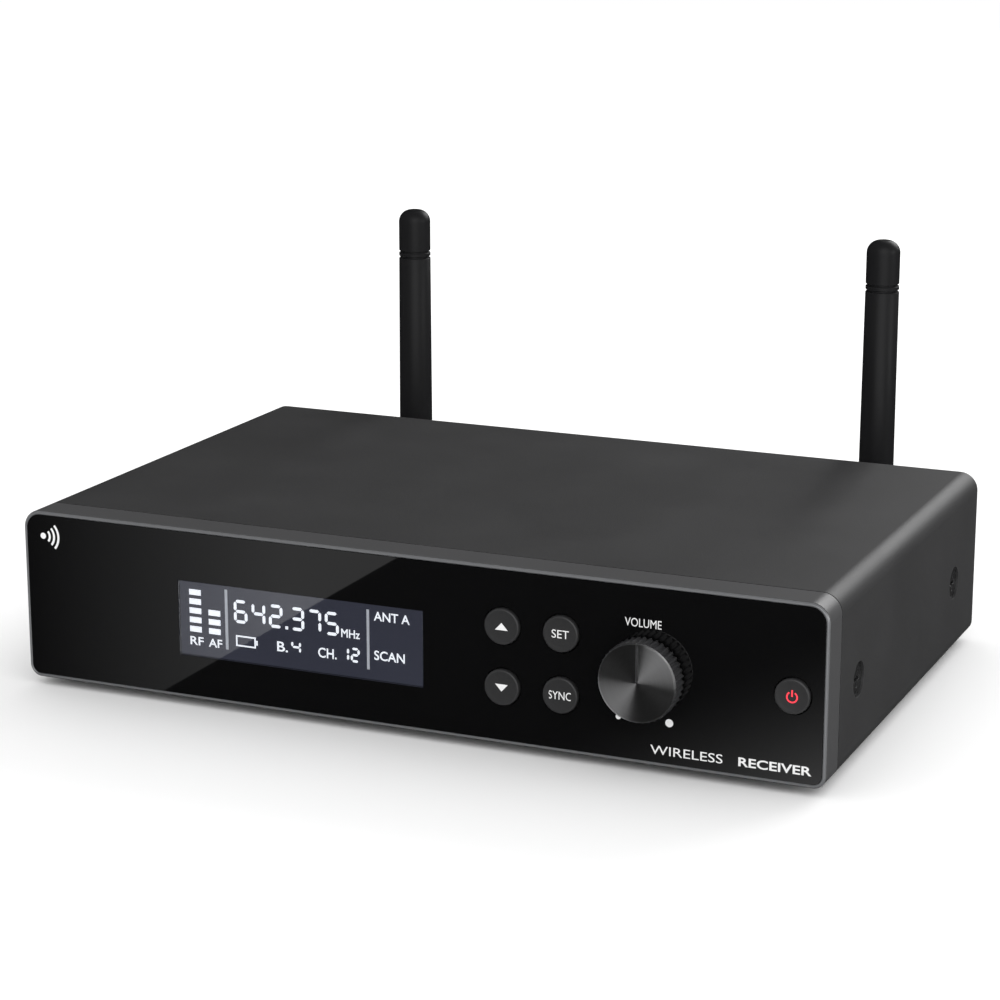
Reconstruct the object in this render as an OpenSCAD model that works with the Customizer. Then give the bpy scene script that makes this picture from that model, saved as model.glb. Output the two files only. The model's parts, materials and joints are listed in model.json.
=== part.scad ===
// Wireless receiver unit: a half-rack housing with a display, five push buttons and a
// volume knob, and two folding antennas plugged into the rear panel.
// Millimetres, +Z up, +X to the right as seen from the front, the front faces -Y.
// The origin is the middle of the overall envelope, on the plane the feet stand on.

/* [Housing] */
// Width of the housing
body_w = 200; // [196:1:215]
// Depth of the housing, from the front face to the rear edge of the cover
body_d = 126; // [124:1:160]
// Height of the housing without its feet
body_h = 41.5; // [41:0.5:46]
// Radius of the two upper long edges
top_r = 4.5; // [4:0.5:6]
// Radius of the two lower long edges
low_r = 3; // [3:0.5:4]
// Thickness of the cover, the tray and the rear panel
sheet = 1.2; // [1:0.1:1.3]
// Depth of the front frame band
frame_d = 8.6; // [8:0.2:9]
// Height of the rubber feet below the housing
foot_h = 2; // [1:0.5:5]

/* [Display] */
// Width of the display window
display_w = 63.2; // [58:0.2:64]
// Height of the display window
display_h = 18.2; // [14:0.2:20]
// Middle of the display window, from the centre line of the housing
display_x = -26.5; // [-30:0.5:-25]
// Middle of the display window above the underside of the housing
display_z = 19.7; // [19:0.1:21]

/* [Controls] */
// Diameter of the four round buttons
button_d = 8.4; // [7:0.2:9]
// Diameter of the power button
power_d = 8; // [7:0.2:8.4]
// How far a button travels
button_travel = 0.6; // [0.3:0.1:0.6]
// How far a button stands out of the front panel
button_proud = 0.8; // [0.7:0.1:1.2]
// Middle of the up and down buttons, from the centre line
button_x1 = 24.7; // [24:0.1:26]
// Middle of the set and sync buttons, from the centre line
button_x2 = 38.8; // [38:0.1:39.5]
// Height of the upper button row
button_z1 = 27.7; // [27:0.1:29]
// Height of the lower button row
button_z2 = 13.5; // [12.5:0.1:14]
// Middle of the power button, from the centre line
power_x = 92.2; // [88:0.1:92.2]
// Middle of the volume knob, from the centre line
knob_x = 58.6; // [57:0.1:62]
// Height of the knob and of the power button
knob_z = 20.4; // [20:0.1:21]
// Diameter of the volume knob
knob_d = 18.4; // [17:0.2:19]
// How far the knob stands out of the front panel
knob_proud = 5.5; // [5:0.1:6.4]
// Number of grip grooves round the knob
knob_ribs = 40; // [24:1:44]

/* [Antennas] */
// Distance of each antenna from the centre line
antenna_x = 67; // [64:1:70]
// Height of the antenna plugs above the underside of the housing
antenna_z = 20.7; // [20:0.1:21]
// Diameter of the mast near its tip
mast_d = 8.7; // [8.4:0.1:8.8]
// Diameter of the mast at its foot
mast_foot_d = 9.2; // [9.2:0.1:9.4]
// Height of the antenna tip above the underside of the housing
mast_top = 95; // [70:1:160]

/* [Hidden] */
$fn = 96;
eps = 0.01;

// Housing. Lengths along Y are counted from the front face.
half_w = body_w / 2;
seam = 0.4;
cover_y = frame_d + seam;
panel_inset = 0.93;
panel_back = 3.2;
rim = 0.9;
frame_wall = 2.6;
spigot_l = 4.4;
slip = 0.15;
rear_recess = 1.6;
rear_out = body_d - rear_recess;
rear_in = rear_out - sheet;
tray_x = half_w - sheet - 2;
tray_y = frame_d + spigot_l + 0.3;
tray_top = 2 * sheet;
flange_top = 26;
lip_x = half_w - 14;
deck = tray_top + 0.1;

// Screws and feet
screw_r = 1.45;
hole_r = 1.5;
csk_r = 3;
lip_screws = [for (s = [-1, 1], y = [25, body_d - 16]) [s * (half_w - 7), y]];
frame_screw_y = 17;
rear_screw_y = body_d - 8;
tray_screws = [for (s = [-1, 1], y = [frame_screw_y, rear_screw_y]) [s * 40, y]];
side_screw_y = [23, body_d - 20.4];
side_screw_z = 18.3;
cup_r = 5.2;
side_head_r = 3.95;
foot_r = 6;
foot_places = [for (s = [-1, 1], y = [20, body_d - 18]) [s * (half_w - 28), y]];

// Boards
board_t = 1.6;
front_board_y = 9;
front_board_back = front_board_y + board_t;
main_z = 5.6;
main_top = main_z + board_t;
main_x = half_w - 11;
main_y = 16;
post_places = [
    [-half_w + 16, 34], [half_w - 16, 34], [-half_w + 16, 100], [half_w - 16, 100], [0, 62]
];
boss_places = [[-80, 12], [-80, 30], [78, 9], [78, 33]];

// Controls
buttons = [
    [button_x1, button_z1, button_d / 2], [button_x1, button_z2, button_d / 2],
    [button_x2, button_z1, button_d / 2], [button_x2, button_z2, button_d / 2],
    [power_x, knob_z, power_d / 2]
];
button_gap = 0.3;
button_back = 4.2;
plunger_y = button_back + button_travel + 0.1;
switch_y = plunger_y + 0.7;
knob_r = knob_d / 2;
knob_gap = 0.4;
knob_hollow = 2.6;
shaft_r = 3;
bushing_r = 3.5;
pot_nut_t = 1.8;

// Rear connectors
xlr_x = -12;
xlr_z = 20.7;
xlr_bore = 9.4;
xlr_back = 106;
jack_x = 22;
jack_bore = 3.2;
dc_x = -42;
dc_z = 13;
barrel_end = rear_out + 14;
barrel_r = 4.8;
socket_bore = 4.2;
socket_floor = rear_out + 3;
lug_y = barrel_end - 5;

// Antenna plug, hinge and mast
collar_y = rear_out + 3.2;
collar_end = barrel_end + 3.1;
collar_r = 7.2;
collar_turn = 85;
fork_y = collar_end + 0.3;
fork_floor = fork_y + 3.1;
hinge_y = fork_floor + 4.6;
ear_r = 4.6;
ear_gap = 2.2;
tongue = 2;
tongue_r = 4.1;
pin_r = 1.25;
mast_foot_z = antenna_z + 5;
tip_l = 11.3;
tip_z = mast_top - tip_l;

// The envelope runs from the knob's face to the back of the hinge and the mast.
envelope_back = hinge_y + max(ear_r, mast_foot_d / 2);
front_y = (knob_proud - envelope_back) / 2;

// Moves a piece from housing coordinates (x from the centre line, y from the front
// face, z from the underside) to the shared frame.
module placed() {
    translate([0, front_y, foot_h]) children();
}

// Stands a piece on an axis that runs toward the rear.
module along_y(x, y, z) {
    translate([x, y, z]) rotate([-90, 0, 0]) children();
}

// A cylinder that runs outward across the width on side s, from x0 to x1.
module side_rod(s, y, z, x0, x1, r) {
    translate([s * x0, y, z]) rotate([0, s * 90, 0]) cylinder(h = x1 - x0, r = r);
}

// A plate or tube with the given outline (x across, y up) between two depths.
module slab(y0, y1) {
    translate([0, y1, 0]) rotate([90, 0, 0]) linear_extrude(y1 - y0) children();
}

// The cross-section of the housing, drawn in by an inset on every side.
module outline(inset) {
    w = half_w - inset;
    top = body_h - inset;
    rt = top_r - inset;
    rl = low_r - inset;
    translate([-w, inset + rl]) square([2 * w, top - rt - inset - rl]);
    translate([-w + rt, top - rt - 0.2]) square([2 * (w - rt), rt + 0.2]);
    translate([-w + rl, inset]) square([2 * (w - rl), rl + 0.2]);
    for (s = [-1, 1]) {
        translate([s * (w - rt), top - rt]) circle(r = rt);
        translate([s * (w - rl), inset + rl]) circle(r = rl);
    }
}

// A hexagon nut between two depths, measured across its flats.
module hex_nut(x, z, y0, thick, flats, bore) {
    along_y(x, y0, z) difference() {
        cylinder(h = thick, r = flats / 2 / cos(30), $fn = 6);
        translate([0, 0, -1]) cylinder(h = thick + 2, r = bore);
    }
}

module top_cover() {
    color("#424245") placed() difference() {
        union() {
            difference() {
                slab(cover_y, body_d) outline(0);
                slab(cover_y - 1, body_d + 1) outline(sheet);
                translate([-lip_x, cover_y - 1, -1]) cube([2 * lip_x, body_d, sheet + 1.5]);
            }
            for (s = [-1, 1], y = side_screw_y) {
                side_rod(s, y, side_screw_z, tray_x + 0.1, half_w - 0.6, cup_r);
            }
        }
        for (s = [-1, 1], y = side_screw_y) {
            side_rod(s, y, side_screw_z, tray_x + 0.9, half_w + 1, side_head_r + 0.15);
            side_rod(s, y, side_screw_z, tray_x - 1, half_w, 2.2);
        }
        for (p = lip_screws) {
            translate([p[0], p[1], -eps]) cylinder(h = sheet + 2 * eps, r1 = csk_r + 0.1, r2 = hole_r + 0.1);
        }
    }
}

module base_tray() {
    color("#57585b") placed() difference() {
        union() {
            translate([-tray_x, tray_y, sheet]) cube([2 * tray_x, rear_in - 0.2 - tray_y, sheet]);
            for (s = [-1, 1]) {
                translate([s * (tray_x - sheet / 2) - sheet / 2, tray_y, sheet])
                    cube([sheet, rear_in - 0.2 - tray_y, flange_top - sheet]);
                for (y = side_screw_y) {
                    side_rod(s, y, side_screw_z, tray_x - sheet - 3, tray_x - 0.5, 3.5);
                }
            }
            for (p = lip_screws) {
                translate([p[0], p[1], tray_top - 0.5]) cylinder(h = 3.5, r = 3);
            }
        }
        for (p = lip_screws) {
            translate([p[0], p[1], 0]) cylinder(h = 8, r = hole_r);
        }
        for (p = tray_screws) {
            translate([p[0], p[1], sheet - eps]) cylinder(h = sheet + 2 * eps, r1 = csk_r + 0.1, r2 = hole_r + 0.1);
        }
        for (s = [-1, 1], y = side_screw_y) {
            side_rod(s, y, side_screw_z, tray_x - 6, tray_x + 1, 2);
        }
    }
}

module rear_panel() {
    color("#3c3c3f") placed() difference() {
        union() {
            slab(rear_in, rear_out) outline(sheet + slip);
            translate([-60, rear_in - 10, deck]) cube([120, 10.5, sheet]);
            for (s = [-1, 1]) {
                translate([s * 40, rear_screw_y, deck]) cylinder(h = 2.7, r = 3);
            }
        }
        for (s = [-1, 1]) {
            along_y(s * antenna_x, rear_in - 1, antenna_z) cylinder(h = sheet + 2, r = barrel_r + 0.05);
            translate([s * 40, rear_screw_y, 0]) cylinder(h = 8, r = hole_r);
            along_y(xlr_x + s * 9.5, rear_in - 1, xlr_z - s * 12) cylinder(h = sheet + 2, r = hole_r + 0.1);
        }
        along_y(xlr_x, rear_in - 1, xlr_z) cylinder(h = sheet + 2, r = 11.5);
        along_y(jack_x, rear_in - 1, antenna_z) cylinder(h = sheet + 2, r = 5.1);
        translate([dc_x - 4.6, rear_in - 1, dc_z - 5.9]) cube([9.2, sheet + 2, 11.2]);
    }
}

module front_frame() {
    color("#535356") placed() difference() {
        union() {
            difference() {
                union() {
                    slab(0.5, frame_d) outline(0);
                    slab(frame_d - 1, frame_d + spigot_l) outline(sheet + slip);
                }
                slab(-1, panel_back + 0.1) outline(rim);
                slab(panel_back, frame_d + spigot_l + 1) outline(frame_wall);
            }
            for (s = [-1, 1]) {
                translate([s * 40 - 6, 4, deck]) cube([12, frame_screw_y + 1, 2.5]);
            }
        }
        for (s = [-1, 1]) {
            translate([s * 40, frame_screw_y, 0]) cylinder(h = 8, r = hole_r);
        }
    }
}

module edge_trim() {
    color("#b4b6b9") placed() slab(0, 0.5) difference() {
        outline(0.3);
        outline(rim);
    }
}

module front_panel() {
    color("#101012") placed() difference() {
        union() {
            slab(0.05, panel_back) outline(panel_inset);
            for (p = boss_places) {
                along_y(p[0], panel_back - 0.5, p[1]) cylinder(h = front_board_y - panel_back + 0.5, r = 2.5);
            }
        }
        translate([display_x - display_w / 2, -1, display_z - display_h / 2]) cube([display_w, 6, display_h]);
        for (b = buttons) {
            along_y(b[0], -1, b[1]) cylinder(h = 6, r = b[2] + button_gap);
        }
        along_y(knob_x, -1, knob_z) cylinder(h = 6, r = bushing_r + 0.05);
        for (p = boss_places) {
            along_y(p[0], 5, p[1]) cylinder(h = 5, r = hole_r);
        }
    }
}

module display_window() {
    color("#59606c", 0.45) placed()
        translate([display_x - display_w / 2 + 0.05, 0.08, display_z - display_h / 2 + 0.05])
            cube([display_w - 0.1, 0.8, display_h - 0.1]);
}

module lcd_panel() {
    color("#394050") placed()
        translate([display_x - display_w / 2 + 0.15, 0.9, display_z - display_h / 2 + 0.15])
            cube([display_w - 0.3, 2.2, display_h - 0.3]);
}

module lcd_holder() {
    color("#d8d8d4") placed()
        translate([display_x - display_w / 2 - 3, panel_back, display_z - display_h / 2 - 2])
            cube([display_w + 6, front_board_y - panel_back, display_h + 4]);
}

module feet() {
    color("#1b1b1b") placed() for (p = foot_places) {
        translate([p[0], p[1], -foot_h]) cylinder(h = foot_h + sheet, r1 = foot_r, r2 = foot_r + 0.5);
    }
}

// A countersunk screw that points upward, with a cross recess in its head.
module csk_screw(x, y, z) {
    translate([x, y, z]) difference() {
        union() {
            cylinder(h = 1.2, r1 = csk_r, r2 = hole_r);
            translate([0, 0, 1]) cylinder(h = 2.8, r = screw_r);
        }
        for (a = [0, 90]) {
            rotate([0, 0, a]) translate([-1.6, -0.35, -1]) cube([3.2, 0.7, 1.8]);
        }
    }
}

module bottom_screws() {
    color("#2c2c2e") placed() {
        for (p = lip_screws) {
            csk_screw(p[0], p[1], 0);
        }
        for (p = tray_screws) {
            csk_screw(p[0], p[1], sheet);
        }
    }
}

module side_screws() {
    color("#3a3a3d") placed() for (s = [-1, 1], y = side_screw_y) {
        difference() {
            union() {
                side_rod(s, y, side_screw_z, tray_x + 0.95, half_w - 0.5, side_head_r);
                side_rod(s, y, side_screw_z, tray_x - 6, tray_x + 1.2, 1.95);
            }
            for (a = [0, 90]) {
                translate([s * (half_w - 0.5), y, side_screw_z]) rotate([a, 0, 0]) cube([2, 0.8, 4], center = true);
            }
        }
    }
}

module front_board() {
    color("#1d5a38") placed() difference() {
        translate([-86, front_board_y, main_z]) cube([182.8, board_t, body_h - frame_wall - 0.7 - main_z]);
        for (p = boss_places) {
            along_y(p[0], front_board_y - 1, p[1]) cylinder(h = 4, r = hole_r + 0.1);
        }
    }
}

module main_board() {
    color("#1d5a38") placed() difference() {
        translate([-main_x, main_y, main_z]) cube([2 * main_x, rear_in - 0.6 - main_y, board_t]);
        for (p = post_places) {
            translate([p[0], p[1], main_z - 1]) cylinder(h = 4, r = hole_r + 0.1);
        }
    }
}

module standoffs() {
    color("#b9bbbe") placed() for (p = post_places) {
        translate([p[0], p[1], tray_top]) difference() {
            cylinder(h = main_z - tray_top, r = 3);
            translate([0, 0, -1]) cylinder(h = 6, r = hole_r);
        }
    }
}

// A pan head screw whose head rests on the plane z = 0 and whose shank points down.
module pan_screw() {
    difference() {
        union() {
            cylinder(h = 1.8, r = 2.6);
            translate([0, 0, -3]) cylinder(h = 3.5, r = screw_r);
        }
        for (a = [0, 90]) {
            rotate([0, 0, a]) translate([-1.5, -0.35, 0.8]) cube([3, 0.7, 2]);
        }
    }
}

module board_screws() {
    color("#c3c4c6") placed() {
        for (p = post_places) {
            translate([p[0], p[1], main_top]) pan_screw();
        }
        for (p = boss_places) {
            along_y(p[0], front_board_back, p[1]) pan_screw();
        }
    }
}

module ribbon_cable() {
    color("#8f9196") placed() {
        translate([-9, 20.1, main_top + 4.8]) cube([18, 0.8, 10.9]);
        translate([-9, 14, main_top + 14.9]) cube([18, 6.9, 0.8]);
    }
}

module board_headers() {
    color("#e6e3d8") placed() {
        translate([-10, 18, main_top]) cube([20, 5, 4.8]);
        translate([-10, front_board_back, main_top + 12.8]) cube([20, 3.4, 5]);
    }
}

// The two tuner cans, open toward the board.
module rf_shields() {
    color("#aeb1b5") placed() for (s = [-1, 1]) {
        translate([s * 60 - 15, 58, main_top]) difference() {
            cube([30, 40, 6]);
            translate([0.4, 0.4, -1]) cube([29.2, 39.2, 6.6]);
        }
    }
}

module chips() {
    color("#222225") placed() {
        translate([-30, 70, main_top]) cube([14, 14, 1.6]);
        translate([10, 52, main_top]) cube([10, 10, 1.4]);
        translate([16, 76, main_top]) cube([8, 12, 1.6]);
        translate([-34, 52, main_top]) cube([6, 5, 1.5]);
    }
}

module capacitors() {
    color("#30343c") placed() for (i = [0:4]) {
        translate([24 + 10 * i, 38, main_top]) cylinder(h = 11, r = 4);
    }
}

module standby_led() {
    color("#b32020") placed() along_y(power_x, 6, knob_z + 6) cylinder(h = front_board_y - 6, r = 1.5);
}

module tact_switches() {
    color("#cfcfcb") placed() for (b = buttons) {
        translate([b[0] - 3, switch_y, b[1] - 3]) cube([6, front_board_y - switch_y, 6]);
        along_y(b[0], plunger_y, b[1]) cylinder(h = 1.2, r = 1.7);
    }
}

module pot_body() {
    color("#8e9094") placed() difference() {
        union() {
            translate([knob_x - 5.5, panel_back, knob_z - 5.5]) cube([11, front_board_y - panel_back, 11]);
            along_y(knob_x, -pot_nut_t - 0.4, knob_z) cylinder(h = 6, r = bushing_r);
        }
        along_y(knob_x, -3, knob_z) cylinder(h = 10, r = shaft_r + 0.06);
    }
}

// Clamps the panel from the front, inside the hollow of the knob.
module pot_nut() {
    color("#b4b6b9") placed() hex_nut(knob_x, knob_z, 0.05 - pot_nut_t, pot_nut_t, 10, bushing_r + 0.01);
}

module pot_shaft() {
    color("#b4b6b9") placed() along_y(knob_x, -knob_proud + 1, knob_z) cylinder(h = knob_proud + 5.5, r = shaft_r);
}

module volume_knob() {
    color("#2b2b2d") placed() along_y(knob_x, -knob_proud, knob_z) difference() {
        union() {
            cylinder(h = 0.5, r1 = knob_r - 0.4, r2 = knob_r);
            translate([0, 0, 0.5]) cylinder(h = knob_proud - knob_gap - 0.5, r = knob_r);
        }
        translate([0, 0, -1]) cylinder(h = 1.8, r = knob_r - 0.7);
        cylinder(h = knob_proud, r = shaft_r + 0.01);
        translate([0, 0, knob_proud - knob_hollow]) cylinder(h = 5, r = 7);
        for (i = [0:knob_ribs - 1]) {
            rotate([0, 0, 360 / knob_ribs * (i + 0.5)]) translate([knob_r + 0.15, 0, 0.9]) cylinder(h = 8, r = 0.45, $fn = 24);
        }
    }
}

// The turned face of the knob, with its pointer groove at the top.
module knob_cap() {
    color("#6a6a6d") placed() along_y(knob_x, -knob_proud, knob_z) difference() {
        cylinder(h = 0.78, r = knob_r - 0.72);
        translate([-0.4, -knob_r, -1]) cube([0.8, knob_r - 0.4, 1.4]);
    }
}

// A button cap with a softened front edge and a flange that keeps it in the panel.
module button(b) {
    color("#38383b") placed() along_y(b[0], -button_proud, b[1]) {
        cylinder(h = 0.3, r1 = b[2] - 0.3, r2 = b[2]);
        translate([0, 0, 0.3]) cylinder(h = button_proud + 3.3 - 0.3, r = b[2]);
        translate([0, 0, button_proud + 3.3]) cylinder(h = button_back - 3.3, r = b[2] + 0.7);
    }
}

module button_up() {
    color("#38383b") button(buttons[0]);
}

module button_down() {
    color("#38383b") button(buttons[1]);
}

module button_set() {
    color("#38383b") button(buttons[2]);
}

module button_sync() {
    color("#38383b") button(buttons[3]);
}

module button_power() {
    color("#38383b") button(buttons[4]);
}

// A board-mounted bayonet socket whose barrel passes through the rear panel.
module bnc_sockets() {
    color("#b9bbbe") placed() for (s = [-1, 1]) {
        difference() {
            union() {
                translate([s * antenna_x - 7.2, rear_in - 12.7, main_top]) cube([14.4, 12.6, antenna_z - main_top + 7.2]);
                along_y(s * antenna_x, rear_in - 1, antenna_z) cylinder(h = barrel_end - rear_in + 1, r = barrel_r);
                for (t = [-1, 1]) {
                    translate([s * antenna_x, lug_y, antenna_z]) side_rod(t, 0, 0, 4.4, 5.6, 1);
                }
            }
            along_y(s * antenna_x, socket_floor, antenna_z) cylinder(h = 20, r = socket_bore);
        }
    }
}

module bnc_nuts() {
    color("#c3c4c6") placed() for (s = [-1, 1]) {
        hex_nut(s * antenna_x, antenna_z, rear_out, 2.5, 14, barrel_r + 0.01);
    }
}

module bnc_insulators() {
    color("#ece9df") placed() for (s = [-1, 1]) {
        along_y(s * antenna_x, socket_floor, antenna_z) difference() {
            cylinder(h = 9.5, r = 2.4);
            translate([0, 0, -1]) cylinder(h = 12, r = 1.1);
        }
    }
}

module bnc_contacts() {
    color("#c9a548") placed() for (s = [-1, 1]) {
        along_y(s * antenna_x, socket_floor, antenna_z) difference() {
            cylinder(h = 9.5, r = 1.1);
            translate([0, 0, 3.5]) cylinder(h = 7, r = 0.58);
        }
    }
}

module xlr_shell() {
    color("#a9abae") placed() difference() {
        union() {
            translate([xlr_x - 13, rear_out, xlr_z - 15.5]) cube([26, rear_recess, 31]);
            along_y(xlr_x, xlr_back, xlr_z) cylinder(h = rear_out - xlr_back + 0.5, r = 11.3);
        }
        along_y(xlr_x, xlr_back - 1, xlr_z) cylinder(h = 30, r = xlr_bore);
        for (s = [-1, 1]) {
            along_y(xlr_x + s * 9.5, rear_out - 1, xlr_z - s * 12) cylinder(h = 4, r = hole_r + 0.1);
        }
    }
}

module xlr_insert() {
    color("#1f1f21") placed() along_y(xlr_x, xlr_back + 0.5, xlr_z) difference() {
        cylinder(h = 4, r = xlr_bore);
        for (a = [0, 120, 240]) {
            rotate([0, 0, a + 90]) translate([4.7, 0, -1]) cylinder(h = 6, r = 1.2);
        }
    }
}

module xlr_pins() {
    color("#c9a548") placed() along_y(xlr_x, xlr_back - 2, xlr_z) for (a = [0, 120, 240]) {
        rotate([0, 0, a + 90]) translate([4.7, 0, 0]) cylinder(h = 16.5, r = 1.2);
    }
}

module xlr_screws() {
    color("#2c2c2e") placed() for (s = [-1, 1]) {
        along_y(xlr_x + s * 9.5, body_d, xlr_z - s * 12) pan_screw_long();
    }
}

// A pan head screw that points back into the housing, under a rearward head.
module pan_screw_long() {
    difference() {
        union() {
            cylinder(h = 1.6, r = 2.7);
            translate([0, 0, -8]) cylinder(h = 8.5, r = screw_r);
        }
        for (a = [0, 90]) {
            rotate([0, 0, a]) translate([-1.5, -0.35, 0.7]) cube([3, 0.7, 2]);
        }
    }
}

module jack_socket() {
    color("#1f1f21") placed() difference() {
        union() {
            translate([jack_x - 8, 96, antenna_z - 8]) cube([16, rear_in - 0.1 - 96, 16]);
            along_y(jack_x, rear_in - 1, antenna_z) cylinder(h = 6.8, r = 5);
        }
        along_y(jack_x, 98, antenna_z) cylinder(h = 60, r = jack_bore);
    }
}

module jack_nut() {
    color("#c3c4c6") placed() hex_nut(jack_x, antenna_z, rear_out, 2.5, 13, 5.01);
}

module dc_socket() {
    color("#1f1f21") placed() difference() {
        translate([dc_x - 4.5, rear_in - 14, main_top]) cube([9, 15.2, 11]);
        along_y(dc_x, rear_in - 9, dc_z) cylinder(h = 20, r = 2.75);
    }
}

module dc_pin() {
    color("#c3c4c6") placed() along_y(dc_x, rear_in - 9, dc_z) cylinder(h = 9, r = 1);
}

// The plug's fixed part: a sleeve inside the socket, a neck through the collar and a
// fork that carries the hinge pin.
module plug_body(x) {
    color("#77797d") placed() translate([x, 0, antenna_z]) difference() {
        union() {
            along_y(0, socket_floor + 1, 0) cylinder(h = barrel_end - socket_floor, r = 3.85);
            along_y(0, barrel_end + 0.3, 0) cylinder(h = 1.1, r = barrel_r);
            along_y(0, barrel_end + 1, 0) cylinder(h = fork_y - barrel_end, r = 4);
            along_y(0, fork_y, 0) cylinder(h = fork_floor - fork_y, r = 6.2);
            for (s = [-1, 1]) {
                translate([s * (ear_gap + ear_r) / 2 - (ear_r - ear_gap) / 2, hinge_y, 0])
                    rotate([90, 0, 90]) linear_extrude(ear_r - ear_gap) {
                        circle(r = ear_r);
                        translate([fork_floor - hinge_y - 0.5, -ear_r]) square([hinge_y - fork_floor + 0.5, 2 * ear_r]);
                    }
            }
        }
        along_y(0, socket_floor, 0) cylinder(h = barrel_end - socket_floor - 0.4, r = 2.8);
        along_y(0, socket_floor, 0) cylinder(h = barrel_end - socket_floor + 1.5, r = 0.5);
        side_rod(1, hinge_y, 0, -8, 8, pin_r + 0.01);
    }
}

module plug_body_a() {
    color("#77797d") plug_body(-antenna_x);
}

module plug_body_b() {
    color("#77797d") plug_body(antenna_x);
}

module plug_pin(x) {
    color("#c9a548") placed() along_y(x, socket_floor + 4.5, antenna_z)
        cylinder(h = barrel_end - socket_floor - 3, r = 0.5);
}

module plug_pin_a() {
    color("#c9a548") plug_pin(-antenna_x);
}

module plug_pin_b() {
    color("#c9a548") plug_pin(antenna_x);
}

// The bayonet collar: two inner grooves let it turn over the socket's lugs, and end
// where the lugs can leave toward the front.
module collar(x) {
    color("#8a8c90") placed() along_y(x, collar_y, antenna_z) difference() {
        cylinder(h = collar_end - collar_y, r = collar_r);
        translate([0, 0, -1]) cylinder(h = collar_end - collar_y - 0.4, r = barrel_r + 0.35);
        cylinder(h = 20, r = 4.3);
        for (s = [0, 180]) {
            rotate([0, 0, s - collar_turn - 15]) translate([0, 0, lug_y - collar_y - 1.3])
                rotate_extrude(angle = collar_turn + 30) translate([5, 0]) square([0.95, 2.6]);
            rotate([0, 0, s - collar_turn]) translate([4.9, -1.35, -1]) cube([1.05, 2.7, lug_y - collar_y + 1]);
        }
        for (i = [0:23]) {
            rotate([0, 0, 15 * i]) translate([collar_r + 0.2, 0, 2]) cylinder(h = 8.6, r = 0.5, $fn = 24);
        }
    }
}

module collar_a() {
    color("#8a8c90") collar(-antenna_x);
}

module collar_b() {
    color("#8a8c90") collar(antenna_x);
}

module hinge_pin(x) {
    color("#b9bbbe") placed() translate([x, 0, 0]) side_rod(1, hinge_y, antenna_z, -ear_r + 0.1, ear_r - 0.1, pin_r);
}

module hinge_pin_a() {
    color("#b9bbbe") hinge_pin(-antenna_x);
}

module hinge_pin_b() {
    color("#b9bbbe") hinge_pin(antenna_x);
}

// The mast, with the tongue that sits in the fork and two fine grooves under the tip.
module mast(x) {
    color("#2a2a2c") placed() translate([x, hinge_y, 0]) difference() {
        union() {
            translate([-tongue, 0, antenna_z]) rotate([90, 0, 90]) linear_extrude(2 * tongue) {
                circle(r = tongue_r);
                translate([-tongue_r, 0]) square([2 * tongue_r, 5.5]);
            }
            translate([0, 0, mast_foot_z])
                cylinder(h = tip_z - 2 - mast_foot_z, r1 = mast_foot_d / 2, r2 = mast_d / 2);
            translate([0, 0, tip_z - 2.5]) cylinder(h = 2.5, r = mast_d / 2 - 0.5);
            translate([0, 0, tip_z - 1.5]) cylinder(h = 1, r = mast_d / 2);
            translate([0, 0, tip_z - 1]) cylinder(h = 6, r = 2.5);
        }
        side_rod(1, 0, antenna_z, -8, 8, pin_r + 0.08);
    }
}

module mast_a() {
    color("#2a2a2c") mast(-antenna_x);
}

module mast_b() {
    color("#2a2a2c") mast(antenna_x);
}

module mast_tip(x) {
    shoulder = 3.3;
    r = mast_d / 2;
    color("#2a2a2c") placed() translate([x, hinge_y, tip_z]) difference() {
        rotate_extrude() {
            square([r, tip_l - shoulder]);
            square([r - shoulder, tip_l]);
            intersection() {
                translate([r - shoulder, tip_l - shoulder]) circle(r = shoulder);
                square([r, tip_l]);
            }
        }
        translate([0, 0, -1]) cylinder(h = 6.2, r = 2.52);
    }
}

module mast_tip_a() {
    color("#2a2a2c") mast_tip(-antenna_x);
}

module mast_tip_b() {
    color("#2a2a2c") mast_tip(antenna_x);
}

top_cover();
base_tray();
rear_panel();
front_frame();
edge_trim();
front_panel();
display_window();
lcd_panel();
lcd_holder();
feet();
bottom_screws();
side_screws();
front_board();
main_board();
standoffs();
board_screws();
ribbon_cable();
board_headers();
rf_shields();
chips();
capacitors();
standby_led();
tact_switches();
pot_body();
pot_nut();
pot_shaft();
volume_knob();
knob_cap();
button_up();
button_down();
button_set();
button_sync();
button_power();
bnc_sockets();
bnc_nuts();
bnc_insulators();
bnc_contacts();
xlr_shell();
xlr_insert();
xlr_pins();
xlr_screws();
jack_socket();
jack_nut();
dc_socket();
dc_pin();
plug_body_a();
plug_pin_a();
collar_a();
hinge_pin_a();
mast_a();
mast_tip_a();
plug_body_b();
plug_pin_b();
collar_b();
hinge_pin_b();
mast_b();
mast_tip_b();
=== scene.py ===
"""Looks for the half-rack wireless receiver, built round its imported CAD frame."""
import json
import math

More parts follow.
